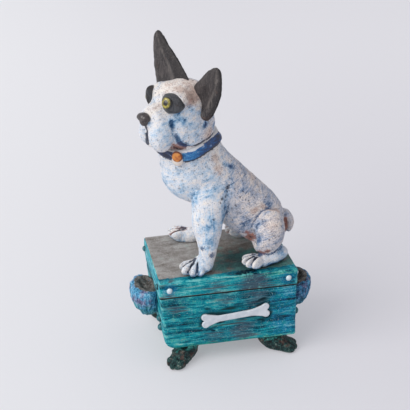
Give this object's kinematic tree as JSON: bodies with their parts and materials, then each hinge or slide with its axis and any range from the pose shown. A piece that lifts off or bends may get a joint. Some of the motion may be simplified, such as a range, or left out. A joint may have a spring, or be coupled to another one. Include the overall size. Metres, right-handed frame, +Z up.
{
  "type": "dog trinket box",
  "caption": "Hand-built stoneware casket on paw feet with side lugs and a bone relief; its lift-off lid carries a sitting dog that serves as the handle.",
  "frame": {"origin": "on the ground under the middle of the box", "axes": "+Z up; the front with the bone faces -Y; +X is to the right seen from the front, and the dog looks towards -X"},
  "size_m": [0.1584, 0.1, 0.277],
  "materials": {
    "clay": "off-white painted stoneware with blue wash, matt",
    "teal": "teal painted stoneware with brushed streaks, matt",
    "topgrey": "grey-green brushed stoneware, matt",
    "charcoal": "charcoal painted stoneware, matt",
    "footgreen": "dark green painted stoneware, matt",
    "lugpurple": "blue-purple painted stoneware, carved and matt",
    "pearl": "pale glazed dots",
    "bone": "white painted stoneware, matt",
    "blue": "blue glaze, satin",
    "orange": "orange glaze, satin",
    "iris": "olive-yellow glaze with a dark pupil, glossy"
  },
  "bodies": {
    "box": {"floor_slab": "teal", "front_wall": "teal", "back_wall": "teal", "left_wall": "teal", "right_wall": "teal", "bone_relief": "bone", "left_lug": "lugpurple", "right_lug": "lugpurple", "left_bead_upper": "lugpurple", "left_bead_lower": "lugpurple", "right_bead": "lugpurple", "foot_front_left": "footgreen", "foot_front_right": "footgreen", "foot_back_left": "footgreen", "foot_back_right": "footgreen"},
    "lid": {"lid_top_slab": "topgrey", "lid_front_band": "teal", "lid_front_flange": "clay", "lid_back_band": "teal", "lid_back_flange": "clay", "lid_left_band": "teal", "lid_left_flange": "clay", "lid_right_band": "teal", "lid_right_flange": "clay", "lid_pearl_front_left": "pearl", "lid_pearl_front_right": "pearl", "lid_pearl_back_left": "pearl", "lid_pearl_back_right": "pearl", "lid_pearl_left_front": "pearl", "lid_pearl_left_back": "pearl", "lid_pearl_right_front": "pearl", "lid_pearl_right_back": "pearl", "dog_torso": "clay", "dog_head": "clay", "dog_tail": "clay", "dog_chin": "clay", "dog_left_jowl": "clay", "dog_right_jowl": "clay", "dog_front_left_leg": "clay", "dog_front_right_leg": "clay", "dog_front_left_paw": "clay", "dog_front_right_paw": "clay", "dog_hind_left_thigh": "clay", "dog_hind_right_thigh": "clay", "dog_hind_left_foot": "clay", "dog_hind_right_foot": "clay", "dog_nose": "charcoal", "dog_left_eye_patch": "charcoal", "dog_right_eye_patch": "charcoal", "dog_left_ear": "charcoal", "dog_right_ear": "charcoal", "dog_left_eye": "iris", "dog_right_eye": "iris", "dog_collar": "blue", "dog_tag": "orange", "dog_tag_plate": "bone"}
  },
  "joints": [
    {"name": "lid_lift", "type": "slide", "parent": "box", "child": "lid", "axis": [0, 0, 1], "range_m": [0, 0.07]}
  ]
}
